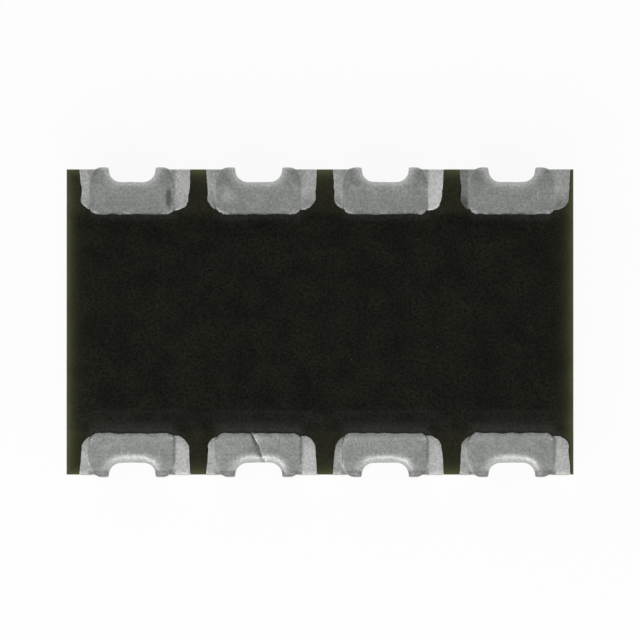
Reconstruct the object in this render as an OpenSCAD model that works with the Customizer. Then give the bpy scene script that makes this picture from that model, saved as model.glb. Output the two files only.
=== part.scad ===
// Chip resistor network: thick-film resistors side by side on one alumina chip.
// Each resistor runs across the chip between two solder terminals, and every terminal
// wraps from the top face through a half-slot in the long edge to the solder land below.
// Millimetres. X runs along the chip, Y across it and Z up from the board; the black
// coat faces up, and the origin is the middle of the seating plane.

/* [Alumina chip] */
// Terminals along each long edge, with one resistor to each facing pair
terminals_per_side = 4; // [2:1:4]
// Distance between neighbouring terminals
pitch = 1.27; // [1.2:0.01:1.6]
// Width of the alumina across the resistors
substrate_w = 3.06; // [2.8:0.02:3.6]
// Thickness of the alumina
substrate_t = 0.5; // [0.3:0.01:0.8]

/* [Edge slots] */
// Straight run along the bottom of each half-slot
notch_flat = 0.22; // [0.1:0.005:0.26]
// End radius of the half-slot, which is also its depth
notch_r = 0.16; // [0.14:0.005:0.22]
// How far the pressed rim of a slot flares out at the chip's two faces
rim_w = 0.06; // [0.03:0.005:0.08]
// Depth of the flared rim
rim_h = 0.03; // [0.02:0.005:0.05]
// How far the row of slots sits from the middle of the chip
notch_shift = 0.02; // [-0.02:0.005:0.02]
// How far the printed films sit from the slots
print_shift = 0.03; // [-0.03:0.005:0.03]

/* [Terminal films] */
// Bare gap between neighbouring terminals, which the coat fills
pad_gap = 0.185; // [0.165:0.005:0.3]
// Depth of a terminal's opening in the coat from the edge, with the coat well centred
pad_d = 0.4; // [0.36:0.01:0.46]
// How much wider the opening is on each side where it meets the edge
pad_flare = 0.018; // [0:0.002:0.03]
// Radius of the opening's inner corners
pad_corner = 0.13; // [0.08:0.01:0.18]
// Depth of a solder land on the underside
lower_land_d = 0.55; // [0.53:0.01:0.7]
// Radius of a solder land's inner corners
lower_land_corner = 0.1; // [0.05:0.01:0.2]
// Width of the film collar around a slot
ring_w = 0.82; // [0.78:0.01:0.9]
// Radius of the collar's inner corners
ring_corner = 0.07; // [0.05:0.01:0.12]
// Radius that draws the collar's two legs in towards the edge
leg_round = 0.29; // [0.27:0.01:0.35]
// Distance from the edge at which the legs start to draw in
leg_start = 0.18; // [0.1:0.01:0.2]
// Thickness of the inner electrode films, above and below
electrode_t = 0.012; // [0.008:0.001:0.02]
// Thickness of the slot film and its collars
ring_t = 0.015; // [0.01:0.001:0.02]
// How far the torn slot film stands past the snapped edge
burr = 0.003; // [0.002:0.001:0.01]

/* [Plating] */
// Thickness of the nickel barrier
nickel_t = 0.008; // [0.004:0.001:0.01]
// Thickness of the matt tin
tin_t = 0.012; // [0.006:0.001:0.015]
// Width of the hairline crack in one terminal's tin
crack_w = 0.014; // [0.006:0.001:0.03]

/* [Resistors] */
// Width of the inner electrode's tongue under the coat
tongue_w = 0.84; // [0.72:0.01:0.9]
// Length of the tongue past the opening
tongue_l = 0.41; // [0.38:0.01:0.5]
// Width of a resistor film
resistor_w = 0.7; // [0.5:0.01:0.76]
// Thickness of a resistor film
resistor_t = 0.012; // [0.008:0.001:0.02]
// How far a resistor film lies over each tongue
resistor_overlap = 0.15; // [0.08:0.01:0.18]
// Width of the laser's cut
kerf_w = 0.04; // [0.02:0.005:0.06]
// How far the laser cut goes in from the film's side
trim_plunge = 0.3; // [0.1:0.01:0.4]
// Length of the cut's leg along the film
trim_leg = 0.42; // [0.1:0.01:0.6]

/* [Coats] */
// Thickness of the glass over a resistor film's ends
glass_t = 0.012; // [0.008:0.001:0.02]
// How far the glass reaches past the resistor film
glass_margin = 0.05; // [0.03:0.005:0.08]
// Thickness of the black coat over the glass
coat_t = 0.025; // [0.015:0.001:0.05]
// Thickness of the coat's thin ledge around a terminal
coat_edge_t = 0.01; // [0.005:0.001:0.012]
// Width of the slope from the ledge up to the coat's flat top
coat_slope = 0.15; // [0.08:0.01:0.2]
// How much thinner the coat is at the chip's two ends
coat_end_drop = 0.016; // [0.005:0.001:0.02]
// Distance from an end at which the coat starts to thin
coat_end_w = 0.2; // [0.1:0.01:0.25]
// How far the coat lies over the inner electrode around an opening
coat_lap = 0.02; // [0.01:0.005:0.025]
// How far the ledge reaches past the plated collar on it
ledge_margin = 0.03; // [0.02:0.005:0.05]
// How far a collar's inner end climbs onto the ledge
collar_lap = 0.0175; // [0.015:0.0025:0.03]
// How far the slot films sit from the middle, towards the front edge
collar_shift = 0.0175; // [0:0.0025:0.02]
// How far the coat's print sits from the middle, towards the front edge
coat_shift = 0.01; // [0:0.005:0.02]

/* [Hidden] */
$fn = 48;
terminal_count = 2 * terminals_per_side;
substrate_l = terminals_per_side * pitch;
pad_w = pitch - pad_gap;
film_d = pad_d + coat_shift + coat_lap;
plating_t = nickel_t + tin_t;
ring_d = pad_d + collar_lap;
ledge_w = collar_lap + collar_shift + coat_shift + plating_t + ledge_margin;
electrode_reach = pad_d + tongue_l;
film_half_l = substrate_w / 2 - electrode_reach;
// Heights of the alumina's two faces and of the coat
chip_z0 = electrode_t + ring_t + plating_t;
chip_z1 = chip_z0 + substrate_t;
coat_edge_h = electrode_t + coat_edge_t;
coat_h = electrode_t + resistor_t + glass_t + coat_t;
// Cutters run this far past the faces that they cut
past = 0.1;
// The terminal whose tin is cracked, and the crack's line across its collar
cracked_terminal = 2;
crack_line = [[-0.07, ring_d + past], [-0.066, 0.405], [-0.018, 0.3], [0.08, 0.08]];

function numbered(name, count) = [for (k = [1 : count]) str(name, "_", k)];

// Terminals count along the front edge from the left, then back along the rear edge.
function column_of(k) = k <= terminals_per_side ? k : terminal_count + 1 - k;
function column_x(c) = (c - (terminals_per_side + 1) / 2) * pitch + notch_shift;

// A terminal's own frame: X along the edge from the middle of its slot, Y inwards.
// $opening_d is the depth of its opening in the coat, and $collar_d that of its collars.
module at_terminal(k) {
    rear = k > terminals_per_side;
    $opening_d = pad_d + (rear ? coat_shift : -coat_shift);
    $collar_d = ring_d + (rear ? collar_shift : -collar_shift);
    translate([column_x(column_of(k)), 0, 0])
        mirror([0, rear ? 1 : 0, 0])
            translate([0, -substrate_w / 2, 0])
                children();
}

// A resistor's own frame: the middle of the printed film on the alumina's top face.
module at_resistor(c) {
    translate([column_x(c) + print_shift, 0, chip_z1]) children();
}

module quarter_disc(r) {
    intersection() {
        circle(r);
        square(2 * r);
    }
}

// Half of a slot with round ends, its long axis on the chip's edge, open past the edge.
module half_slot(flat, r) {
    for (side = [0, 1])
        mirror([side, 0])
            translate([flat / 2, 0])
                quarter_disc(r);
    translate([-flat / 2, 0]) square([flat, r]);
    translate([-flat / 2 - r, -past]) square([flat + 2 * r, past]);
}

// The space over a half-slot whose walls lean out by run over the height h; mouth is
// how far it goes on past the slot's long axis.
module flared_slot(flat, r, run, h, mouth) {
    wall = [[0, 0], [r, 0], [r + run, h], [0, h]];
    rotate([90, 0, 90]) linear_extrude(flat, center = true) polygon(wall);
    translate([-flat / 2, -mouth, 0]) cube([flat, mouth, h]);
    for (side = [0, 1])
        mirror([side, 0, 0])
            translate([flat / 2, 0, 0]) {
                rotate_extrude(angle = 90) polygon(wall);
                rotate([90, 0, 0]) linear_extrude(mouth) polygon(wall);
            }
}

// A tab that comes in from the edge and has round inner corners.
module tab(w, d, r) {
    translate([-w / 2, 0]) square([w, d - r]);
    translate([r - w / 2, d - r]) square([w - 2 * r, r]);
    for (side = [0, 1])
        mirror([side, 0])
            translate([w / 2 - r, d - r])
                quarter_disc(r);
}

// Outlines of one terminal. The opening in the coat; lip is how far the outline goes on past
// the edge, and shrink is how far it stays inside the opening's wall.
module window_outline(lip = 0, shrink = 0) {
    half = pad_w / 2 - shrink;
    straight = $opening_d - pad_corner;
    mouth = half + pad_flare * (1 + lip / straight);
    translate([print_shift, 0]) {
        tab(2 * half, $opening_d - shrink, pad_corner - shrink);
        polygon([[-mouth, -lip], [mouth, -lip], [half, straight], [-half, straight]]);
    }
}

// The slot film's collar; grow is the thickness of plating around it.
module collar_outline(grow) {
    leg_x = ring_w / 2 - leg_round;
    lip = burr + grow;
    translate([0, leg_start]) tab(ring_w + 2 * grow, $collar_d + grow - leg_start, ring_corner + grow);
    translate([-leg_x, -lip]) square([2 * leg_x, leg_start + lip]);
    intersection() {
        for (side = [0, 1])
            mirror([side, 0])
                translate([leg_x, leg_start])
                    mirror([0, 1])
                        quarter_disc(leg_round + grow);
        translate([-ring_w, -lip]) square([2 * ring_w, leg_start + lip]);
    }
}

// The solder land on the underside, grown the same way.
module lower_land_outline(grow) {
    translate([print_shift, 0])
        tab(pad_w + 2 * grow, lower_land_d + grow, lower_land_corner + grow);
}

// The space that stays open in a slot whose wall has a lining; lift is how high the
// lining's collars stand on the chip's two faces.
module slot_space(lining = 0, lift = 0) {
    foot = rim_h - lift;
    r = notch_r - lining;
    translate([0, 0, chip_z0 + foot])
        linear_extrude(substrate_t - 2 * foot)
            half_slot(notch_flat, r);
    translate([0, 0, chip_z1 - foot])
        flared_slot(notch_flat, r, 2 * rim_w, 2 * rim_h, past);
    translate([0, 0, chip_z0 + foot])
        mirror([0, 0, 1])
            flared_slot(notch_flat, r, 2 * rim_w, 2 * rim_h, past);
}

// Inner electrode films of one terminal, which end at the rim of the slot.
module upper_film() {
    translate([0, 0, chip_z1])
        linear_extrude(electrode_t)
            difference() {
                translate([print_shift, 0]) {
                    tab(pad_w + 2 * coat_lap, film_d, pad_corner);
                    translate([-tongue_w / 2, 0]) square([tongue_w, electrode_reach]);
                }
                half_slot(notch_flat, notch_r + rim_w);
            }
}

module lower_film() {
    translate([0, 0, chip_z0 - electrode_t])
        linear_extrude(electrode_t)
            difference() {
                lower_land_outline(0);
                half_slot(notch_flat, notch_r + rim_w);
            }
}

// A slot's lining and its two collars, as one block with nothing cut from it. The upper
// collar lies in the coat's opening, and its inner end climbs onto the ledge.
module slot_filling(grow) {
    build = ring_t + grow;
    reach = electrode_t + build;
    mouth = notch_flat + 2 * (notch_r + rim_w + grow);
    translate([0, 0, chip_z1])
        linear_extrude(reach)
            intersection() {
                collar_outline(grow);
                window_outline(burr + grow);
            }
    translate([0, 0, chip_z1 + coat_edge_h])
        linear_extrude(build)
            difference() {
                collar_outline(grow);
                window_outline(past, build);
            }
    translate([0, 0, chip_z0 - reach])
        linear_extrude(reach)
            collar_outline(grow);
    translate([-mouth / 2, -burr - grow, chip_z0 - reach])
        cube([mouth, burr + grow, substrate_t + 2 * reach]);
    intersection() {
        slot_space();
        translate([-mouth, 0, chip_z0]) cube([2 * mouth, 2 * mouth, substrate_t]);
    }
}

// The film through the slot with its two collars, as it is before plating.
module slot_film() {
    difference() {
        slot_filling(0);
        slot_space(ring_t, electrode_t + ring_t);
    }
}

// All the metal that shows once the plating bath has built it up to the given thickness:
// the slot's film and collars, the pad in the coat's opening and the land below.
module plated(grow) {
    difference() {
        union() {
            slot_filling(grow);
            translate([0, 0, chip_z1])
                linear_extrude(electrode_t + grow)
                    window_outline();
            translate([0, 0, chip_z0 - electrode_t - grow])
                linear_extrude(electrode_t + grow)
                    lower_land_outline(grow);
        }
        slot_space(ring_t + grow, electrode_t + ring_t + grow);
    }
}

// A hairline crack through the tin on the upper collar.
module crack() {
    ends = len(crack_line) - 1;
    side = [crack_w / 2, 0];
    translate([0, 0, chip_z1 + electrode_t + ring_t + nickel_t])
        linear_extrude(tin_t + past)
            polygon(concat(
                [for (p = crack_line) p - side],
                [for (i = [ends : -1 : 0]) crack_line[i] + side]
            ));
}

// The film steps up from the alumina onto the tongue at each end.
module resistor_body() {
    end = film_half_l + resistor_overlap;
    step = film_half_l - resistor_t;
    upper = electrode_t + resistor_t;
    half = [[step, resistor_t], [step, upper], [end, upper],
            [end, electrode_t], [film_half_l, electrode_t], [film_half_l, 0]];
    rotate([90, 0, 90])
        linear_extrude(resistor_w, center = true)
            polygon(concat(half, [for (i = [len(half) - 1 : -1 : 0]) [-half[i][0], half[i][1]]]));
}

// An L-shaped laser cut, in from one side and then along the film.
module trim_cut() {
    start = -resistor_w / 2 - glass_margin / 2;
    turn = trim_plunge - resistor_w / 2;
    depth = electrode_t + resistor_t + glass_t + 2 * past;
    translate([start, -kerf_w / 2, -past])
        cube([turn - start, kerf_w, depth]);
    translate([turn - kerf_w, -kerf_w / 2, -past])
        cube([kerf_w, trim_leg, depth]);
}

// The opening in the coat for one terminal, with its ledge and the slope above that.
module coat_window() {
    flare_h = coat_h - coat_edge_h + past;
    flare = coat_slope * flare_h / (coat_h - coat_edge_h);
    corner_y = $opening_d - pad_corner;
    translate([0, 0, chip_z1]) linear_extrude(coat_edge_h) window_outline(past);
    translate([print_shift, corner_y, chip_z1 + coat_edge_h])
        flared_slot(pad_w - 2 * pad_corner, pad_corner + ledge_w, flare, flare_h, corner_y + past);
}

// What the coat lacks at the chip's end, where the printed paste runs thin.
module coat_end_wedge() {
    inner = substrate_l / 2 - coat_end_w;
    outer = substrate_l / 2 + past;
    foot = -coat_end_drop * (outer - inner) / coat_end_w;
    translate([0, 0, chip_z1 + coat_h])
        rotate([90, 0, 0])
            linear_extrude(substrate_w + 2 * past, center = true)
                polygon([[inner, 0], [outer, foot], [outer, past], [inner, past]]);
}

module ceramic_substrate() {
    color("ivory")
        difference() {
            translate([-substrate_l / 2, -substrate_w / 2, chip_z0])
                cube([substrate_l, substrate_w, substrate_t]);
            for (k = [1 : terminal_count])
                at_terminal(k) slot_space();
        }
}

module top_electrode(k) {
    color("silver") at_terminal(k) upper_film();
}

module bottom_electrode(k) {
    color("silver") at_terminal(k) lower_film();
}

module slot_electrode(k) {
    color("gainsboro")
        at_terminal(k)
            difference() {
                slot_film();
                upper_film();
                lower_film();
            }
}

module nickel_barrier(k) {
    color("darkkhaki")
        at_terminal(k)
            difference() {
                plated(nickel_t);
                slot_film();
                upper_film();
                lower_film();
            }
}

module tin_plating(k) {
    color("darkgray")
        at_terminal(k)
            difference() {
                plated(plating_t);
                plated(nickel_t);
                if (k == cracked_terminal) crack();
            }
}

module resistor_film(c) {
    color("dimgray")
        at_resistor(c)
            difference() {
                resistor_body();
                trim_cut();
            }
}

module glass_coat(c) {
    glass_w = resistor_w + 2 * glass_margin;
    glass_l = 2 * (film_half_l + resistor_overlap + glass_margin);
    color("darkseagreen")
        difference() {
            at_resistor(c)
                translate([-glass_w / 2, -glass_l / 2, 0])
                    cube([glass_w, glass_l, electrode_t + resistor_t + glass_t]);
            at_resistor(c) resistor_body();
            at_resistor(c) trim_cut();
            at_terminal(c) upper_film();
            at_terminal(terminal_count + 1 - c) upper_film();
        }
}

module black_overcoat() {
    color([0.11, 0.11, 0.09])
        difference() {
            translate([-substrate_l / 2, -substrate_w / 2, chip_z1])
                cube([substrate_l, substrate_w, coat_h]);
            for (k = [1 : terminal_count]) {
                at_terminal(k) coat_window();
                at_terminal(k) upper_film();
            }
            for (c = [1 : terminals_per_side]) {
                resistor_film(c);
                glass_coat(c);
            }
            for (side = [0, 1])
                mirror([side, 0, 0])
                    coat_end_wedge();
        }
}

ceramic_substrate();
black_overcoat();
for (c = [1 : terminals_per_side]) {
    resistor_film(c);
    glass_coat(c);
}
for (k = [1 : terminal_count]) {
    top_electrode(k);
    bottom_electrode(k);
    slot_electrode(k);
    nickel_barrier(k);
    tin_plating(k);
}
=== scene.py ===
import math

import bmesh
import bpy
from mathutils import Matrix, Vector
from mathutils.bvhtree import BVHTree


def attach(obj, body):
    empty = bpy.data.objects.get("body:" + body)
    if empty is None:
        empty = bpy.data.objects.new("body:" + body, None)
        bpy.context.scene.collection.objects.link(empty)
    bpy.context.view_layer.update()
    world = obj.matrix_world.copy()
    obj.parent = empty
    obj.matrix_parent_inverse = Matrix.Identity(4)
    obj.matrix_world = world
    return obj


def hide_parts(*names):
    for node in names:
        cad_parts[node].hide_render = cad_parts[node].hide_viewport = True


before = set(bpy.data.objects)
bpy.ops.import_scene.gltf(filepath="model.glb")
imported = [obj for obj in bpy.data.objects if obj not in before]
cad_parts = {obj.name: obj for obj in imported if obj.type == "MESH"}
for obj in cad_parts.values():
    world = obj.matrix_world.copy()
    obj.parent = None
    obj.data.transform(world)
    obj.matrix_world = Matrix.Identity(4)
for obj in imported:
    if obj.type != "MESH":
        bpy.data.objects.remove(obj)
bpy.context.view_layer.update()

# Alumina chip: a plate of fired alumina, ivory white and matt, under everything else.
# It is pressed as a soft sheet with rows of holes and score lines, fired and snapped apart,
# so each side is smooth where it was scored and rough where it broke.
MM = 0.001
WELD, FLAT_WITHIN = 1e-5, math.radians(0.5)
PITCH, PER_SIDE = 1.27, 4
HALF_LENGTH, HALF_WIDTH = PITCH * PER_SIDE / 2, 1.53
CHIP_FOOT, CHIP_TOP = 0.047, 0.547
SLOT_SHIFT = 0.02
SLOT_X = [(c - (PER_SIDE - 1) / 2) * PITCH + SLOT_SHIFT for c in range(PER_SIDE)]
ON_FACE = 0.001
SCORE_DEPTH = 0.13
SCORE_BELOW, SCORE_ABOVE = 0.03, 0.01
BREAK_DEPTH, BREAK_SIZE = 0.03, 0.11
BREAK_GRID = 0.03
SLOT_CLEAR, SLOT_FADE = 0.37, 0.09


def ramp(value, low, high):
    """A soft step from 0 at low to 1 at high."""
    t = min(1.0, max(0.0, (value - low) / (high - low)))
    return t * t * (3 - 2 * t)


def only(piece):
    """Makes one piece the selected, active object."""
    bpy.ops.object.select_all(action="DESELECT")
    piece.select_set(True)
    bpy.context.view_layer.objects.active = piece


def merged_copy(node, name):
    """A merged copy of a solid, enlarged so that one unit is a millimetre, left in edit mode."""
    piece = bpy.data.objects.new(name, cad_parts[node].data.copy())
    bpy.context.scene.collection.objects.link(piece)
    piece.data.materials.clear()
    only(piece)
    bpy.ops.mesh.customdata_custom_splitnormals_clear()
    piece.scale = (1 / MM,) * 3
    bpy.ops.object.transform_apply(location=False, rotation=False, scale=True)
    bpy.ops.object.mode_set(mode="EDIT")
    bpy.ops.mesh.select_mode(type="FACE")
    bpy.ops.mesh.select_all(action="SELECT")
    bpy.ops.mesh.remove_doubles(threshold=WELD)
    bpy.ops.mesh.dissolve_limited(angle_limit=FLAT_WITHIN)
    return piece


def pick_faces(piece, wanted):
    """Selects the faces whose middle and normal are wanted."""
    bpy.ops.mesh.select_all(action="DESELECT")
    mesh = bmesh.from_edit_mesh(piece.data)
    for face in mesh.faces:
        if wanted(face.calc_center_median(), face.normal):
            face.select_set(True)
    bmesh.update_edit_mesh(piece.data)


def slice_shown(axis, first, last, step):
    """Cuts what isn't hidden by evenly spaced planes across one axis."""
    count = max(2, round((last - first) / step))
    across = [0.0, 0.0, 0.0]
    across["xyz".index(axis)] = 1.0
    for i in range(1, count):
        place = [c * (first + (last - first) * i / count) for c in across]
        bpy.ops.mesh.select_all(action="SELECT")
        bpy.ops.mesh.bisect(plane_co=place, plane_no=across, threshold=WELD)


chip = merged_copy("ceramic_substrate", "alumina_chip")
pick_faces(chip, lambda at, normal: abs(normal.z) < 0.1 and (
    abs(at.x) > HALF_LENGTH - ON_FACE or abs(at.y) > HALF_WIDTH - ON_FACE))
bpy.ops.mesh.hide(unselected=True)
slice_shown("x", -HALF_LENGTH, HALF_LENGTH, BREAK_GRID)
slice_shown("y", -HALF_WIDTH, HALF_WIDTH, BREAK_GRID)
slice_shown("z", CHIP_FOOT, CHIP_TOP, BREAK_GRID)
bpy.ops.mesh.reveal()
bpy.ops.object.mode_set(mode="OBJECT")


def weigh(piece, name, weight):
    """A vertex group from a rule that gives each place its weight."""
    group = piece.vertex_groups.new(name=name)
    for v in piece.data.vertices:
        w = weight(v.co)
        if w > 0.001:
            group.add([v.index], w, "REPLACE")
    return group.name


def cloud(name, size, depth=2, hard=False, basis="BLENDER_ORIGINAL"):
    """A procedural cloud for the displacing of a surface; size is in millimetres."""
    texture = bpy.data.textures.new(name, "CLOUDS")
    texture.noise_scale = size
    texture.noise_depth = depth
    texture.noise_type = "HARD_NOISE" if hard else "SOFT_NOISE"
    texture.noise_basis = basis
    return texture


def displace(piece, texture, strength, level, group="", direction="NORMAL"):
    """Moves the surface by a cloud, or evenly without one, and applies that at once."""
    only(piece)
    mod = piece.modifiers.new("displace", "DISPLACE")
    mod.texture = texture
    mod.texture_coords = "LOCAL"
    mod.strength = strength
    mod.mid_level = level
    mod.direction = direction
    mod.vertex_group = group
    bpy.ops.object.modifier_apply(modifier=mod.name)


def to_metres(piece, angle):
    """Shrinks a finished piece back to the frame's metres and shades it."""
    only(piece)
    piece.vertex_groups.clear()
    piece.scale = (MM,) * 3
    bpy.ops.object.transform_apply(location=False, rotation=False, scale=True)
    bpy.ops.object.shade_smooth_by_angle(angle=math.radians(angle))


def broken(at):
    """How far a place on a side lies in the broken part, away from the slots' film."""
    on_end = abs(at.x) > HALF_LENGTH - ON_FACE
    on_side = abs(at.y) > HALF_WIDTH - ON_FACE
    if not (on_end or on_side):
        return 0.0
    score = CHIP_TOP - SCORE_DEPTH
    share = 1 - ramp(at.z, score - SCORE_BELOW, score + SCORE_ABOVE)
    if on_side:
        share *= min(ramp(abs(at.x - x), SLOT_CLEAR, SLOT_CLEAR + SLOT_FADE) for x in SLOT_X)
    return share


break_zone = weigh(chip, "broken", broken)
displace(chip, cloud("break", BREAK_SIZE, 4, hard=True), -BREAK_DEPTH, 0.0, break_zone)
to_metres(chip, 35)


def add(tree, kind, inputs=None, **settings):
    """A shader node with its settings, and its inputs linked or set."""
    node = tree.nodes.new(kind)
    for name, value in settings.items():
        setattr(node, name, value)
    for key, value in (inputs or {}).items():
        if isinstance(value, bpy.types.NodeSocket):
            tree.links.new(value, node.inputs[key])
        else:
            node.inputs[key].default_value = value
    return node


def new_finish(name):
    """An empty material: its tree, its shader and the place on the piece."""
    material = bpy.data.materials.new(name)
    material.use_nodes = True
    tree = material.node_tree
    shader = tree.nodes["Principled BSDF"]
    place = add(tree, "ShaderNodeTexCoord").outputs["Object"]
    return material, tree, shader, place


def grain(tree, place, size, detail=2.0, rough=0.5):
    """Noise whose features are about size millimetres across."""
    return add(tree, "ShaderNodeTexNoise", {
        "Vector": place, "Scale": 1 / (size * MM), "Detail": detail, "Roughness": rough}).outputs["Fac"]


def between(tree, value, low, high, start=0.0, end=1.0):
    """The value from low to high, spread from start to end."""
    return add(tree, "ShaderNodeMapRange", {
        "Value": value, "From Min": low, "From Max": high,
        "To Min": start, "To Max": end}).outputs["Result"]


def blend_colours(tree, share, first, second, how="MIX"):
    """Two colours mixed by a share."""
    mix = add(tree, "ShaderNodeMix", {0: share}, data_type="RGBA", blend_type=how)
    for socket, value in ((mix.inputs[6], first), (mix.inputs[7], second)):
        if isinstance(value, bpy.types.NodeSocket):
            tree.links.new(value, socket)
        else:
            socket.default_value = (*value, 1.0)
    return mix.outputs[2]


def bump(tree, height, depth, strength=1.0):
    """A fine relief whose depth is in millimetres."""
    return add(tree, "ShaderNodeBump", {
        "Height": height, "Distance": depth * MM, "Strength": strength}).outputs["Normal"]


alumina, tree, shader, place = new_finish("alumina")
crystals = grain(tree, place, 0.018, 3.0, 0.7)
patches = grain(tree, place, 0.35, 2.0)
tone = blend_colours(tree, patches, (0.74, 0.71, 0.63), (0.84, 0.82, 0.76))
tone = blend_colours(tree, between(tree, crystals, 0.3, 0.75), (0.66, 0.63, 0.55), tone)
tree.links.new(tone, shader.inputs["Base Color"])
tree.links.new(between(tree, crystals, 0.2, 0.8, 0.5, 0.75), shader.inputs["Roughness"])
tree.links.new(bump(tree, crystals, 0.006, 0.6), shader.inputs["Normal"])
shader.inputs["Specular IOR Level"].default_value = 0.4
chip.data.materials.append(alumina)
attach(chip, "root")
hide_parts("ceramic_substrate")

# Inner electrodes: silver paste printed on the chip's two faces, dried and fired on.
# Above, each has a tongue that runs in under the coat to its resistor; below, each is a
# solder land. Both end at the rim of the slot.
TERMINALS = range(1, 2 * PER_SIDE + 1)
silver, tree, shader, place = new_finish("fired_silver")
flakes = grain(tree, place, 0.012, 3.0, 0.6)
mesh_marks = grain(tree, place, 0.08, 2.0)
tone = blend_colours(tree, flakes, (0.50, 0.48, 0.44), (0.72, 0.70, 0.66))
tone = blend_colours(tree, between(tree, mesh_marks, 0.35, 0.7, 0.0, 0.4), tone, (0.58, 0.54, 0.46))
tree.links.new(tone, shader.inputs["Base Color"])
shader.inputs["Metallic"].default_value = 1.0
tree.links.new(between(tree, flakes, 0.2, 0.8, 0.42, 0.62), shader.inputs["Roughness"])
tree.links.new(bump(tree, flakes, 0.003, 0.5), shader.inputs["Normal"])
for k in TERMINALS:
    for kind in ("top_electrode", "bottom_electrode"):
        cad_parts["%s_%d" % (kind, k)].material_slots[0].material = silver

# Resistor films: a paste of metal oxide and glass, printed from tongue to tongue and fired.
# The film is dark grey and slightly glassy, and a laser has cut an L into its side to trim it.
RESISTORS = range(1, PER_SIDE + 1)
oxide, tree, shader, place = new_finish("fired_oxide")
specks = grain(tree, place, 0.015, 4.0, 0.7)
pools = grain(tree, place, 0.12, 2.0)
tone = blend_colours(tree, specks, (0.018, 0.018, 0.021), (0.060, 0.058, 0.062))
tree.links.new(tone, shader.inputs["Base Color"])
tree.links.new(between(tree, pools, 0.3, 0.7, 0.3, 0.55), shader.inputs["Roughness"])
tree.links.new(bump(tree, specks, 0.002, 0.5), shader.inputs["Normal"])
for c in RESISTORS:
    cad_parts["resistor_film_%d" % c].material_slots[0].material = oxide

# Covering glass: a thin green glass, printed over each resistor and melted on before the
# laser cut, which goes through it as well. It keeps the coat's resin off the film.
glaze, tree, shader, place = new_finish("covering_glass")
clouding = grain(tree, place, 0.09, 3.0)
pinholes = add(tree, "ShaderNodeTexVoronoi", {
    "Vector": place, "Scale": 1 / (0.05 * MM)}).outputs["Distance"]
tone = blend_colours(tree, clouding, (0.050, 0.110, 0.075), (0.120, 0.210, 0.150))
tone = blend_colours(tree, between(tree, pinholes, 0.05, 0.12, 0.5, 0.0), tone, (0.03, 0.05, 0.04))
tree.links.new(tone, shader.inputs["Base Color"])
tree.links.new(between(tree, clouding, 0.3, 0.7, 0.12, 0.28), shader.inputs["Roughness"])
shader.inputs["IOR"].default_value = 1.55
for c in RESISTORS:
    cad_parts["glass_coat_%d" % c].material_slots[0].material = glaze

# Slot films: silver paste drawn through the slots, lapping onto both faces as a collar.
# It is fired onto the wall of the slot and torn where the chip was snapped.
slot_silver, tree, shader, place = new_finish("slot_silver")
flakes = grain(tree, place, 0.016, 3.0, 0.6)
runs = grain(tree, place, 0.1, 2.0)
tone = blend_colours(tree, flakes, (0.46, 0.45, 0.42), (0.68, 0.67, 0.64))
tone = blend_colours(tree, between(tree, runs, 0.4, 0.7, 0.0, 0.35), tone, (0.50, 0.47, 0.41))
tree.links.new(tone, shader.inputs["Base Color"])
shader.inputs["Metallic"].default_value = 1.0
tree.links.new(between(tree, flakes, 0.2, 0.8, 0.45, 0.65), shader.inputs["Roughness"])
tree.links.new(bump(tree, flakes, 0.003, 0.5), shader.inputs["Normal"])
for k in TERMINALS:
    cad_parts["slot_electrode_%d" % k].material_slots[0].material = slot_silver

# Black coat: a filled black resin, screen-printed over everything but the terminals and baked.
# Its openings have soft, slightly uneven edges, it thins out towards the sides of the chip,
# and there and between the terminals the pale alumina shows through a little.
COAT_LEDGE = 0.569
COAT_GRID, SLOPE_SOFTENING = 0.03, 6
EDGE_DROP, EDGE_ROUND = 0.008, 0.06
FRONT_METAL, REAR_METAL = -HALF_WIDTH + 0.42, HALF_WIDTH - 0.455
COLLAR_HALF, COLLAR_MIDDLE = 0.43, 0.01
COLLAR_FADE_IN, COLLAR_FADE_OUT = 0.08, 0.06
THIN_REACH = 0.05
TOOTH_FROM, TOOTH_TO, TOOTH_THIN = 1.05, 1.13, 0.11
# Painted sheen: reach and strength of the lightening on the coat's shoulders beyond the collars' ends,
# full on the front row that faces the lamp and half on the rear row.
SHEEN_REACH = 0.14
REAR_SHEEN, REAR_SHEEN_REACH = 0.5, 0.1
PRINT_WAVER, WAVER_SIZE = 0.03, 0.12
LEVELLING, LEVELLING_SIZE = 0.006, 0.3


def reckon(tree, how, first, second):
    """A product, maximum or other reckoning of two numbers."""
    return add(tree, "ShaderNodeMath", {0: first, 1: second}, operation=how).outputs[0]


coat = merged_copy("black_overcoat", "black_coat")
pick_faces(coat, lambda at, normal: normal.z > 0.5 and at.z > COAT_LEDGE - 0.002)
bpy.ops.mesh.hide(unselected=True)
slice_shown("x", -HALF_LENGTH, HALF_LENGTH, COAT_GRID)
slice_shown("y", -HALF_WIDTH, HALF_WIDTH, COAT_GRID)
mesh = bmesh.from_edit_mesh(coat.data)
bpy.ops.mesh.select_all(action="DESELECT")
bpy.ops.mesh.select_mode(type="VERT")
for v in mesh.verts:
    if v.co.z > COAT_LEDGE + 0.003 and not v.hide and not any(f.hide for f in v.link_faces):
        v.select_set(True)
bmesh.update_edit_mesh(coat.data)
bpy.ops.mesh.vertices_smooth(factor=0.5, repeat=SLOPE_SOFTENING, xaxis=False, yaxis=False, zaxis=True)
bpy.ops.mesh.reveal(select=False)
bpy.ops.object.mode_set(mode="OBJECT")


def printed(at):
    """How freely the print's edges waver: not at all at the chip's own edges."""
    return ramp(HALF_WIDTH - abs(at.y), 0.06, 0.2) * ramp(HALF_LENGTH - abs(at.x), 0.01, 0.05)


def upper_coat(at):
    """The coat's surface above its thin ledges."""
    return ramp(at.z, COAT_LEDGE + 0.001, COAT_LEDGE + 0.01)


def coat_brim(at):
    """The coat's upper edges all round the chip, where the paste drew back."""
    inside = min(HALF_LENGTH - abs(at.x), HALF_WIDTH - abs(at.y))
    return upper_coat(at) * (1 - ramp(inside, 0.0, EDGE_ROUND))


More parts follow.
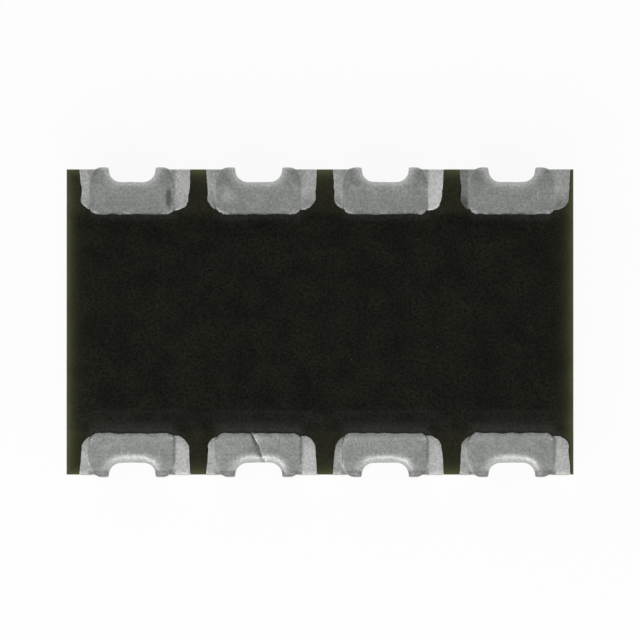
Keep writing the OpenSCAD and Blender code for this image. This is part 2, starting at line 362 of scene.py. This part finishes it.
WAVER_X = cloud("waver_x", WAVER_SIZE, 1)
WAVER_Y = cloud("waver_y", WAVER_SIZE, 1, basis="IMPROVED_PERLIN")
print_zone = weigh(coat, "print", printed)
brim_zone = weigh(coat, "brim", coat_brim)
upper_zone = weigh(coat, "upper", upper_coat)
displace(coat, None, -EDGE_DROP, 0.0, brim_zone, "Z")
displace(coat, WAVER_X, PRINT_WAVER, 0.5, print_zone, "X")
displace(coat, WAVER_Y, PRINT_WAVER, 0.5, print_zone, "Y")
displace(coat, cloud("levelling", LEVELLING_SIZE, 2), LEVELLING, 1.0, upper_zone, "Z")

thin = coat.data.attributes.new("thin_edge", "FLOAT", "POINT")
# This attribute holds a painted sheen. Where the coat slopes down to the front collars it is lightened as
# if it caught the front lamp, and half as much at the rear.
painted_sheen = coat.data.attributes.new("shoulder_painted_sheen", "FLOAT", "POINT")
for v in coat.data.vertices:
    inside = min(HALF_LENGTH - abs(v.co.x), HALF_WIDTH - abs(v.co.y))
    tooth = TOOTH_THIN * ramp(abs(v.co.y), TOOTH_FROM, TOOTH_TO)
    thin.data[v.index].value = min(1.0, math.exp(-max(0.0, inside) / THIN_REACH) + tooth)
    aside = min(abs(v.co.x - x - COLLAR_MIDDLE) for x in SLOT_X)
    over_collar = 1 - ramp(aside, COLLAR_HALF - COLLAR_FADE_IN, COLLAR_HALF + COLLAR_FADE_OUT)
    front_sheen = 1 - ramp(v.co.y, FRONT_METAL, FRONT_METAL + SHEEN_REACH)
    rear_sheen = REAR_SHEEN * ramp(v.co.y, REAR_METAL - REAR_SHEEN_REACH, REAR_METAL)
    painted_sheen.data[v.index].value = over_collar * max(front_sheen, rear_sheen)
to_metres(coat, 40)

resin, tree, shader, place = new_finish("black_resin")
filler = grain(tree, place, 0.024, 3.0, 0.6)
streaks = grain(tree, place, 0.22, 3.0)
thinness = add(tree, "ShaderNodeAttribute", attribute_name="thin_edge").outputs["Fac"]
sheen_share = add(tree, "ShaderNodeAttribute", attribute_name="shoulder_painted_sheen").outputs["Fac"]
tone = blend_colours(tree, between(tree, filler, 0.3, 0.7),
                     (0.0006, 0.0005, 0.0001), (0.0170, 0.0164, 0.0106))
patches = between(tree, grain(tree, place, 0.3, 2.0), 0.35, 0.65, 0.75, 0.0)
tone = blend_colours(tree, patches, tone, (0.4, 0.4, 0.4), "MULTIPLY")
pale = reckon(tree, "MULTIPLY", thinness, between(tree, streaks, 0.3, 0.7, 0.8, 1.1))
tone = blend_colours(tree, pale, tone, (0.085, 0.088, 0.040))
# Painted sheen: the coat's shoulders are blended towards a neutral grey.
sheen_mix = reckon(tree, "MULTIPLY", sheen_share, between(tree, filler, 0.3, 0.7, 0.2, 0.36))
tone = blend_colours(tree, sheen_mix, tone, (0.085, 0.088, 0.082))
dust = add(tree, "ShaderNodeTexVoronoi", {"Vector": place, "Scale": 1 / (0.3 * MM)}).outputs["Distance"]
tone = blend_colours(tree, between(tree, dust, 0.018, 0.03, 0.5, 0.0), tone, (0.06, 0.06, 0.055))
tree.links.new(tone, shader.inputs["Base Color"])
tree.links.new(between(tree, streaks, 0.3, 0.7, 0.5, 0.62), shader.inputs["Roughness"])
tree.links.new(bump(tree, filler, 0.003, 0.5), shader.inputs["Normal"])
shader.inputs["Specular IOR Level"].default_value = 0.09
coat.data.materials.append(resin)
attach(coat, "root")
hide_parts("black_overcoat")

# Nickel barrier: a few micrometres plated over the silver, so that solder can't eat it.
# It lies under the tin all over each terminal, and shows in the crack of one of them.
# Its outer side is drawn in a little here, to leave room under the softened tin.
NICKEL_CLEAR, TIP_CLEAR = 0.0075, 0.016
TOUCHING = 0.0008
MID_HEIGHT, NEAR_FACES = 0.3, 0.2


def solid_tree(node):
    """A solid's surface in millimetres, for finding what lies on it."""
    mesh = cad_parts[node].data
    return BVHTree.FromPolygons([v.co / MM for v in mesh.vertices], [p.vertices for p in mesh.polygons])


def nickel_shell(number, name):
    """One terminal's nickel, thinner on the side that the tin covers."""
    piece = merged_copy("nickel_barrier_%d" % number, name)
    bpy.ops.object.mode_set(mode="OBJECT")
    cover = solid_tree("tin_plating_%d" % number)
    covered = weigh(piece, "covered", lambda at: float(cover.find_nearest(at, TOUCHING)[0] is not None))
    displace(piece, None, -NICKEL_CLEAR, 0.0, covered)
    for group, way in (("upper_tips", 1), ("lower_tips", -1)):
        tips = weigh(piece, group, lambda at: float(
            abs(at.y) > HALF_WIDTH and way * (at.z - MID_HEIGHT) > NEAR_FACES))
        displace(piece, None, -way * TIP_CLEAR, 0.0, tips, "Z")
    return piece


def moved_copy(piece, name, along):
    """Another terminal like the first, so far along the row, with a mesh of its own."""
    other = bpy.data.objects.new(name, piece.data.copy())
    bpy.context.scene.collection.objects.link(other)
    only(other)
    other.location.x = along
    bpy.ops.object.transform_apply(location=True, rotation=False, scale=False)
    return other


shells = {1: nickel_shell(1, "nickel_1"), 8: nickel_shell(8, "nickel_8")}
for k, model, steps in ((2, 1, 1), (3, 1, 2), (4, 1, 3), (7, 8, 1), (6, 8, 2), (5, 8, 3)):
    shells[k] = moved_copy(shells[model], "nickel_%d" % k, steps * PITCH)

nickel, tree, shader, place = new_finish("plated_nickel")
nodules = grain(tree, place, 0.01, 3.0, 0.6)
tarnish = grain(tree, place, 0.09, 2.0)
tone = blend_colours(tree, nodules, (0.15, 0.145, 0.135), (0.26, 0.255, 0.24))
tone = blend_colours(tree, between(tree, tarnish, 0.4, 0.75, 0.0, 0.5), tone, (0.10, 0.097, 0.09))
tree.links.new(tone, shader.inputs["Base Color"])
shader.inputs["Metallic"].default_value = 1.0
tree.links.new(between(tree, nodules, 0.2, 0.8, 0.35, 0.55), shader.inputs["Roughness"])
tree.links.new(bump(tree, nodules, 0.002, 0.5), shader.inputs["Normal"])
for k, piece in shells.items():
    to_metres(piece, 40)
    piece.data.materials.append(nickel)
    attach(piece, "root")
    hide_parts("nickel_barrier_%d" % k)

# Tin plating: matt tin over the nickel, the part of each terminal that is soldered.
# It wraps from the pad above through the slot to the land below, follows the step of the
# collar under it, is rounded over the slot's rim, and lies in fine grains and soft lumps.
TIN_THICK = 0.0115
TIN_GRID, WALL_GRID = 0.025, 0.03
LEFT_END, RIGHT_END = 0.6, 0.65
INNER_END, OUTER_END = 0.9, 1.56
WALL_FOOT, WALL_TOP = 0.04, 0.554
LYING_ON, TIN_MERGE, STEP_MERGE = 0.0012, 0.002, 0.0115
TIN_SOFTENING, RIM_SOFTENING, STEP_SOFTENING = 3, 7, 40
EDGE_ROLL, ROLL_REACH = 0.005, 0.2
SLOT_FLAT, RIM_REACH = 0.22, 0.27
STEP_FROM, FRONT_STEP_TO, REAR_STEP_TO = 0.24, 0.385, 0.42
STEP_HIGH, STEP_SIDE = 0.006, 0.05
STRIP_TOP, COLLAR_TOP = 0.579, 0.594
STRIP_FOOT = 0.015
PAD_NEAR, PAD_FAR = 0.002, 0.009
RIM_FROM, RIM_TO = 0.195, 0.22
# Strength of the painted shade at the foot of the collar's step, on the front row and on the rear row.
FRONT_STEP_SHADE, REAR_STEP_SHADE = 1.5, 0.4
LUMP_DEPTH, LUMP_SIZE, RIM_LUMPS = 0.005, 0.1, 0.2
CRACKED, CRACK_LINE = 2, ((-0.066, 0.42), (-0.066, 0.405), (-0.018, 0.3), (0.08, 0.08))
LIP_RISE, LIP_WIDE = 0.003, 0.05
RUBBED, DULL, BRIGHTER = 6, 5, (1, 2, 8)
FRONT_STRIP, REAR_STRIP, STRIP_END = 0.6, 0.15, 0.42
# Strength of the painted highlight on the slot rims, on the front row and on the rear row.
FRONT_RIM_HIGHLIGHT, REAR_RIM_HIGHLIGHT = 0.4, 0.3
TIP_DARKENING, REAR_LEG_SHADE, REAR_END_SHADE, RIGHT_STEP_SHADE = 0.7, 0.2, 0.5, 0.35
LEFT_SHINE, FRONT_RIGHT_SHINE, REAR_RIGHT_SHINE = 0.3, 0.1, 0.3
RUB_OUTSIDE, RUB_INSIDE = 0.6, 0.6
LEFT_DULLING, RIGHT_DULLING = 0.55, 0.2
LIP_SHINE, CRACK_SHADE, GLINT_SHINE = 0.35, 0.6, 0.6
SMEAR_SHINE, SMUDGE_SOIL = 0.3, 0.75
# Place and half width of the painted shade along the front collar's right step.
RIGHT_STEP_AT, RIGHT_STEP_HALF = 0.425, 0.022
# Places and half size of painted highlights: glints on the rim of terminal 2's slot.
RIM_GLINTS, GLINT_HALF = ((0.074, 0.151), (0.246, 0.096), (0.27, 0.028)), 0.028
SMUDGED, SMUDGE_AT, SMUDGE_HALF = 8, (-1.517, 1.24), (0.035, 0.12)
SMEARED, SMEAR_AT, SMEAR_REACH = 7, (-0.3, 0.27), 0.1


def free_skin(node, name):
    """The outer faces of a terminal's tin, those that lie on no other solid."""
    piece = merged_copy(node, name)
    number = node.rsplit("_", 1)[1]
    under = ["nickel_barrier_" + number, "slot_electrode_" + number, "top_electrode_" + number,
             "bottom_electrode_" + number, "black_overcoat", "ceramic_substrate"]
    solids = [solid_tree(n) for n in under]
    bpy.ops.mesh.select_all(action="SELECT")
    bpy.ops.mesh.quads_convert_to_tris()
    pick_faces(piece, lambda at, normal: any(
        s.find_nearest(at, LYING_ON)[0] is not None for s in solids))
    bpy.ops.mesh.delete(type="FACE")
    bpy.ops.mesh.select_all(action="SELECT")
    bpy.ops.mesh.dissolve_limited(angle_limit=FLAT_WITHIN)
    return piece


def pick_inner(piece, wanted):
    """Selects the wanted vertices that don't lie on the skin's own border."""
    bpy.ops.mesh.select_all(action="DESELECT")
    mesh = bmesh.from_edit_mesh(piece.data)
    for v in mesh.verts:
        v.select_set(not v.is_boundary and wanted(v.co))
    bmesh.update_edit_mesh(piece.data)


def slot_distance(at, slot_x):
    """Distance of a place from the straight middle line of its slot."""
    return math.hypot(max(0.0, abs(at.x - slot_x) - SLOT_FLAT / 2), HALF_WIDTH - abs(at.y))


def slot_of(number):
    """The middle of a terminal's slot; they count along the front and back along the rear."""
    return SLOT_X[(number if number <= PER_SIDE else 2 * PER_SIDE + 1 - number) - 1]


def tin_terminal(number, name):
    """One terminal's tin, cut into a fine net and softened, still a thin skin."""
    piece = free_skin("tin_plating_%d" % number, name)
    x = slot_of(number)
    front = number <= PER_SIDE
    side = -1 if front else 1
    step_to = FRONT_STEP_TO if front else REAR_STEP_TO

    def on_step(at):
        """Whether a place lies where the collar climbs onto the coat's ledge."""
        over = at.z > COLLAR_TOP - STEP_HIGH and abs(at.x - x) < COLLAR_HALF - STEP_SIDE
        return over and STEP_FROM < HALF_WIDTH - abs(at.y) < step_to

    slice_shown("x", x - LEFT_END, x + RIGHT_END, TIN_GRID)
    slice_shown("y", *sorted((side * INNER_END, side * OUTER_END)), TIN_GRID)
    slice_shown("z", WALL_FOOT, WALL_TOP, WALL_GRID)
    bpy.ops.mesh.select_all(action="SELECT")
    bpy.ops.mesh.remove_doubles(threshold=TIN_MERGE)
    bpy.ops.mesh.select_mode(type="VERT")
    pick_inner(piece, on_step)
    bpy.ops.mesh.remove_doubles(threshold=STEP_MERGE)
    pick_inner(piece, lambda at: True)
    bpy.ops.mesh.vertices_smooth(factor=0.5, repeat=TIN_SOFTENING)
    pick_inner(piece, lambda at: abs(at.z - MID_HEIGHT) > NEAR_FACES and slot_distance(at, x) < RIM_REACH)
    bpy.ops.mesh.vertices_smooth(factor=0.5, repeat=RIM_SOFTENING)
    pick_inner(piece, on_step)
    bpy.ops.mesh.vertices_smooth(factor=0.5, repeat=STEP_SOFTENING, xaxis=False, yaxis=False)
    bpy.ops.object.mode_set(mode="OBJECT")
    collar = piece.data.attributes.new("collar", "FLOAT", "POINT")
    foot = piece.data.attributes.new("foot", "FLOAT", "POINT")
    for v in piece.data.vertices:
        strip = ramp(v.co.z, STRIP_TOP + PAD_FAR, STRIP_TOP + PAD_NEAR)
        strip *= ramp(v.co.z, CHIP_TOP, CHIP_TOP + 0.01)
        land = ramp(v.co.z, STRIP_FOOT - PAD_FAR, STRIP_FOOT - PAD_NEAR)
        land *= ramp(v.co.z, CHIP_FOOT, CHIP_FOOT - 0.01)
        inward = HALF_WIDTH - abs(v.co.y)
        pad = max(strip, land) * ramp(slot_distance(v.co, x), RIM_FROM, RIM_TO) * ramp(inward, 0.0, 0.008)
        # Painted shade: a dark line where the collar's tin steps down to the pad strips.
        line = 4 * pad * (1 - pad) * ramp(inward, 0.0, 0.03)
        collar.data[v.index].value = 1 - pad
        foot.data[v.index].value = line * (FRONT_STEP_SHADE if front else REAR_STEP_SHADE)
    return piece


tin = {1: tin_terminal(1, "tin_terminal_1"), 2: tin_terminal(2, "tin_terminal_2"),
       8: tin_terminal(8, "tin_terminal_8")}
for k, steps in ((3, 2), (4, 3)):
    tin[k] = moved_copy(tin[1], "tin_terminal_%d" % k, steps * PITCH)
for k, steps in ((7, 1), (6, 2), (5, 3)):
    tin[k] = moved_copy(tin[8], "tin_terminal_%d" % k, steps * PITCH)

matt_tin, tree, shader, place = new_finish("matt_tin")
crystals = grain(tree, place, 0.022, 3.0, 0.6)
mottle = grain(tree, place, 0.11, 3.0, 0.6)
on_collar = add(tree, "ShaderNodeAttribute", attribute_name="collar").outputs["Fac"]
clusters = grain(tree, place, 0.04, 2.0)
collar_tone = blend_colours(tree, between(tree, mottle, 0.3, 0.7), (0.39, 0.41, 0.39), (0.49, 0.51, 0.49))
pad_tone = blend_colours(tree, between(tree, mottle, 0.3, 0.7), (0.57, 0.59, 0.57), (0.71, 0.725, 0.71))
tone = blend_colours(tree, on_collar, pad_tone, collar_tone)
tone = blend_colours(tree, between(tree, clusters, 0.35, 0.65, 0.3, 0.0), tone, (0.26, 0.27, 0.26))
# Painted shade along the foot of the collar's step, broken up by the mottle.
foot_line = add(tree, "ShaderNodeAttribute", attribute_name="foot").outputs["Fac"]
foot_dark = reckon(tree, "MULTIPLY", foot_line, between(tree, mottle, 0.4, 0.65, 0.3, 0.75))
tone = blend_colours(tree, foot_dark, tone, (0.16, 0.165, 0.16))
# Lighter and darker marks on the tin: real scuffs and dirt together with painted highlights and painted
# shade, carried by one attribute.
wear_and_light = add(tree, "ShaderNodeAttribute", attribute_name="wear_and_light").outputs["Fac"]
lightened = reckon(tree, "MAXIMUM", wear_and_light, 0.0)
darkened = reckon(tree, "MAXIMUM", reckon(tree, "MULTIPLY", wear_and_light, -1.0), 0.0)
tone = blend_colours(tree, lightened, tone, (0.90, 0.91, 0.90))
tone = blend_colours(tree, darkened, tone, (0.10, 0.105, 0.10))
shaded = between(tree, crystals, 0.32, 0.66, 0.55, 0.0)
tone = blend_colours(tree, shaded, tone, (0.4, 0.4, 0.4), "MULTIPLY")
tree.links.new(tone, shader.inputs["Base Color"])
shader.inputs["Metallic"].default_value = 1.0
tree.links.new(between(tree, on_collar, 0.0, 1.0, 0.45, 0.55), shader.inputs["Roughness"])
tree.links.new(bump(tree, crystals, 0.002, 0.6), shader.inputs["Normal"])


def edge_roll(at):
    """How far the upper collar's tin has rolled down towards the chip's long edge."""
    near_edge = 1 - ramp(HALF_WIDTH - abs(at.y), 0.0, ROLL_REACH)
    return near_edge * ramp(at.z, STRIP_TOP + 0.003, COLLAR_TOP)


def past_crack(at):
    """How far to the right of the crack a place on its collar lies."""
    inward = at.y + HALF_WIDTH
    for (x0, y0), (x1, y1) in zip(CRACK_LINE, CRACK_LINE[1:]):
        if y1 <= inward <= y0:
            return at.x - SLOT_X[CRACKED - 1] - x0 - (x1 - x0) * (inward - y0) / (y1 - y0)
    return -1.0


def crack_lip(at):
    """The lifted right lip of the crack."""
    right = past_crack(at)
    return 1 - ramp(right, 0.0, LIP_WIDE) if right > 0 and at.z > CHIP_TOP else 0.0


def wear_and_light_at(k, at):
    """Marks at a place on terminal k: above zero it is lighter, below zero darker; real scuffs and dirt
    are held here together with painted highlights and painted shade.
    """
    front = k <= PER_SIDE
    along, inward = at.x - slot_of(k), HALF_WIDTH - abs(at.y)
    right = ramp(along, COLLAR_HALF - 0.01, COLLAR_HALF + 0.02)
    left = ramp(-along, COLLAR_HALF - 0.01, COLLAR_HALF + 0.02)
    on_collar = (1 - left) * (1 - right)
    wear_and_light = (FRONT_STRIP if front else REAR_STRIP) * right
    wear_and_light -= STRIP_END * ramp(inward, 0.2, 0.36) * (left + right)
    if at.z < CHIP_TOP - 0.05:
        return wear_and_light
    # Painted highlight: the tin is lightened towards the slot's rim, where the rounded edge would catch
    # the lamp.
    rim = 1 - ramp(slot_distance(at, slot_of(k)), 0.15, 0.24)
    wear_and_light += (FRONT_RIM_HIGHLIGHT if front else REAR_RIM_HIGHLIGHT) * rim
    if front:
        # The front collar is darker right at the chip's edge.
        wear_and_light -= TIP_DARKENING * (1 - ramp(inward, 0.015, 0.055)) * on_collar
        # Painted shade: a dark band along the right side of the front collar, beside the step wall turned
        # away from the lamp.
        wear_and_light -= RIGHT_STEP_SHADE * (1 - ramp(abs(along - RIGHT_STEP_AT), 0.0, RIGHT_STEP_HALF)) * ramp(inward, 0.06, 0.16)
    else:
        # Painted shade: the rear collar's legs are darkened towards the chip's edge, away from the rim.
        wear_and_light -= REAR_LEG_SHADE * (1 - ramp(inward, 0.08, 0.2)) * (1 - rim) * on_collar
        # Painted shade: the rear collar's inner end is darkened where its edge faces the lamp.
        wear_and_light -= REAR_END_SHADE * ramp(inward, 0.42, 0.45)
    if k in BRIGHTER:
        wear_and_light += LEFT_SHINE * left + (FRONT_RIGHT_SHINE if front else REAR_RIGHT_SHINE) * right
    if k == RUBBED:
        wear_and_light += right * (RUB_OUTSIDE + RUB_INSIDE * ramp(inward, 0.02, 0.2))
    if k == DULL:
        wear_and_light -= LEFT_DULLING * left + RIGHT_DULLING * right
    if k == CRACKED:
        beyond = past_crack(at)
        # The lifted right lip is lightened, and a band of painted shade runs along the crack's left side.
        wear_and_light += LIP_SHINE * crack_lip(at) - CRACK_SHADE * ramp(beyond, -0.045, -0.005) * (beyond < 0)
        # Painted highlights: three bright glints on the rim of the slot.
        for glint in RIM_GLINTS:
            wear_and_light += GLINT_SHINE * (1 - ramp(math.dist((along, inward), glint), 0.0, GLINT_HALF))
    if k == SMEARED:
        wear_and_light += SMEAR_SHINE * (1 - ramp(math.dist((along, inward), SMEAR_AT), 0.02, SMEAR_REACH))
    if k == SMUDGED:
        away = math.hypot(*((c - m) / h for c, m, h in zip(at.xy, SMUDGE_AT, SMUDGE_HALF)))
        wear_and_light -= SMUDGE_SOIL * (1 - ramp(away, 0.5, 1.2))
    return wear_and_light


LUMPS = cloud("lumps", LUMP_SIZE, 2)
for k, piece in tin.items():
    print_zone = weigh(piece, "print", printed)
    roll_zone = weigh(piece, "roll", edge_roll)
    displace(piece, None, -EDGE_ROLL, 0.0, roll_zone, "Z")
    if k == CRACKED:
        displace(piece, None, LIP_RISE, 0.0, weigh(piece, "lip", crack_lip), "Z")
    displace(piece, WAVER_X, PRINT_WAVER, 0.5, print_zone, "X")
    displace(piece, WAVER_Y, PRINT_WAVER, 0.5, print_zone, "Y")
    lump_zone = weigh(piece, "lump", lambda at: (
        ramp(slot_distance(at, slot_of(k)), 0.17, 0.26) * (1 - RIM_LUMPS) + RIM_LUMPS))
    displace(piece, LUMPS, LUMP_DEPTH, 1.0, lump_zone)
    shell = piece.modifiers.new("shell", "SOLIDIFY")
    shell.thickness = TIN_THICK
    shell.offset = -1.0
    bpy.ops.object.modifier_apply(modifier=shell.name)
    # Scuffs and dirt together with painted highlights and painted shade, set place by place.
    wear_and_light = piece.data.attributes.new("wear_and_light", "FLOAT", "POINT")
    for v in piece.data.vertices:
        wear_and_light.data[v.index].value = wear_and_light_at(k, v.co)
    to_metres(piece, 40)
    piece.data.materials.append(matt_tin)
    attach(piece, "root")
    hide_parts("tin_plating_%d" % k)

# Studio: a plain white floor under a soft sky that is brightest at the horizon, one wide
# lamp from the front, and a camera that looks almost straight down, as the photograph does.
FLOOR_HALF, FLOOR_DROP = 1.0, 0.002 * MM
FLOOR_WHITE = 0.91
SKY_LOW, SKY_HIGH = 1.0, 0.5
LAMP_WIDE, LAMP_HIGH, LAMP_ENERGY = 22 * MM, 12 * MM, 0.0018
LAMP_PLACE = (-4 * MM, -14 * MM, 13 * MM)
LENS, SENSOR = 1000.0, 36.0
FRAME_WIDE = 6.415 * MM
VIEW_TILT = math.radians(1.1)
VIEW_AIM = (0.0, 0.019 * MM, 0.59 * MM)

bpy.ops.object.select_all(action="DESELECT")
bpy.ops.mesh.primitive_plane_add(size=2 * FLOOR_HALF, location=(0, 0, -FLOOR_DROP))
floor = bpy.context.object
floor.name = "floor"
white = bpy.data.materials.new("white_floor")
white.use_nodes = True
tree = white.node_tree
tree.nodes.remove(tree.nodes["Principled BSDF"])
matt = add(tree, "ShaderNodeBsdfDiffuse", {"Color": (0.92, 0.92, 0.92, 1.0)}).outputs[0]
glow = add(tree, "ShaderNodeEmission", {"Color": (1.0, 1.0, 1.0, 1.0), "Strength": 1.0}).outputs[0]
ray = add(tree, "ShaderNodeLightPath").outputs
seen = reckon(tree, "MAXIMUM", reckon(tree, "MAXIMUM", ray["Is Camera Ray"], ray["Is Glossy Ray"]),
              ray["Is Transmission Ray"])
backing = add(tree, "ShaderNodeMixShader", {
    0: reckon(tree, "MULTIPLY", seen, FLOOR_WHITE), 1: matt, 2: glow})
tree.links.new(backing.outputs[0], tree.nodes["Material Output"].inputs["Surface"])
floor.data.materials.append(white)

world = bpy.data.worlds.new("soft_sky")
bpy.context.scene.world = world
world.use_nodes = True
tree = world.node_tree
toward = add(tree, "ShaderNodeTexCoord").outputs["Generated"]
rise = add(tree, "ShaderNodeSeparateXYZ", {0: toward}).outputs["Z"]
sky = tree.nodes["Background"]
tree.links.new(between(tree, rise, 0.1, 0.9, SKY_LOW, SKY_HIGH), sky.inputs["Strength"])
sky.inputs["Color"].default_value = (1.0, 1.0, 1.0, 1.0)

lamp_data = bpy.data.lights.new("front_lamp", "AREA")
lamp_data.shape = "RECTANGLE"
lamp_data.size, lamp_data.size_y = LAMP_WIDE, LAMP_HIGH
lamp_data.energy = LAMP_ENERGY
lamp = bpy.data.objects.new("front_lamp", lamp_data)
bpy.context.scene.collection.objects.link(lamp)
lamp.location = LAMP_PLACE
lamp.rotation_euler = (Vector((0, 0, 0)) - lamp.location).to_track_quat("-Z", "Y").to_euler()

camera_data = bpy.data.cameras.new("camera")
camera_data.lens = LENS
camera_data.sensor_width = SENSOR
camera_data.clip_start, camera_data.clip_end = 0.001, 10.0
camera = bpy.data.objects.new("camera", camera_data)
bpy.context.scene.collection.objects.link(camera)
camera.rotation_euler.x = VIEW_TILT
backwards = Vector((0.0, -math.sin(VIEW_TILT), math.cos(VIEW_TILT)))
camera.location = Vector(VIEW_AIM) + FRAME_WIDE * LENS / SENSOR * backwards
bpy.context.scene.camera = camera
bpy.context.scene.view_settings.view_transform = "Standard"
